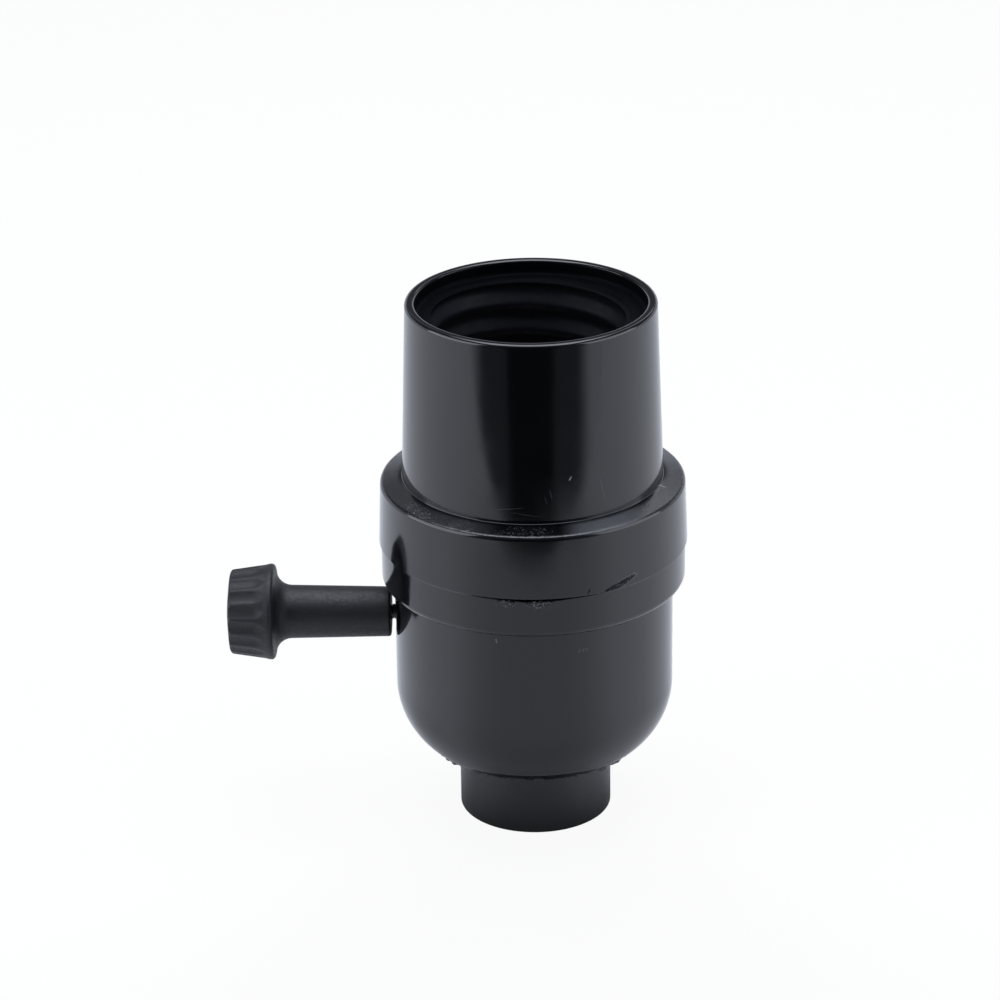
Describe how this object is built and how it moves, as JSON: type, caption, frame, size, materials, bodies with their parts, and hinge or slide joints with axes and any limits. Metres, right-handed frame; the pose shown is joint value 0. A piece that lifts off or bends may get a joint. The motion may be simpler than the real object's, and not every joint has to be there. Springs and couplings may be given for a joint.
{
  "type": "three-way lamp socket",
  "caption": "Black moulded lamp socket with a turn-knob switch, a screw mouth for a three-way bulb and a hub tapped for a lamp pipe.",
  "frame": {"origin": "centre of the hub's flat end, on the socket's axis", "axes": "+Z along the socket's axis towards the bulb, knob along -X"},
  "size_m": [0.0621, 0.0412, 0.0733],
  "materials": {
    "phenolic_black": "glossy moulded phenolic",
    "phenolic_inner": "matt moulded phenolic",
    "knob_black": "matt moulded plastic",
    "rotor_plastic": "brown moulded phenolic",
    "vulcanised_fibre": "smooth grey fibre sheet",
    "aluminium_sheet": "rolled sheet",
    "zinc_plated_steel": "zinc plated",
    "spring_steel": "bright spring steel",
    "nickel_plated_brass": "nickel plated",
    "brass": "turned brass",
    "phosphor_bronze": "stamped spring sheet",
    "copper_sheet": "stamped sheet"
  },
  "bodies": {
    "socket": {"upper_shell": "phenolic_black", "lower_cap": "phenolic_black", "hub_bushing": "zinc_plated_steel", "screw_shell": "aluminium_sheet", "contact_block": "phenolic_inner", "contact_rivets": "brass", "shell_rivets": "brass", "fibre_plate": "vulcanised_fibre", "neutral_terminal": "brass", "neutral_screw": "nickel_plated_brass", "hot_terminal": "brass", "hot_screw": "brass", "low_brush": "phosphor_bronze", "high_brush": "phosphor_bronze", "switch_housing": "phenolic_inner", "detent_spring": "spring_steel", "assembly_screws": "zinc_plated_steel"},
    "switch_knob": {"knob": "knob_black", "knob_stud": "zinc_plated_steel", "switch_shaft": "brass", "rotor": "rotor_plastic", "rotor_wiper": "copper_sheet", "shaft_clip": "spring_steel"},
    "centre_contact": {"centre_contact": "phosphor_bronze"},
    "ring_contact": {"ring_contact": "phosphor_bronze"}
  },
  "joints": [
    {"name": "knob_turn", "type": "hinge", "parent": "socket", "child": "switch_knob", "pos_m": [0, 0, 0.02847], "axis": [1, 0, 0], "continuous": true, "deforming": ["detent_spring"]},
    {"name": "centre_contact_press", "type": "hinge", "parent": "socket", "child": "centre_contact", "pos_m": [0.0039, 0.004, 0.04798], "axis": [0.716, -0.6981, 0], "range_deg": [0, 6], "stiffness_Nm_per_rad": 0.4},
    {"name": "ring_contact_press", "type": "hinge", "parent": "socket", "child": "ring_contact", "pos_m": [-0.0039, -0.004, 0.04798], "axis": [-0.9111, -0.4121, 0], "range_deg": [0, 6], "stiffness_Nm_per_rad": 0.4}
  ]
}
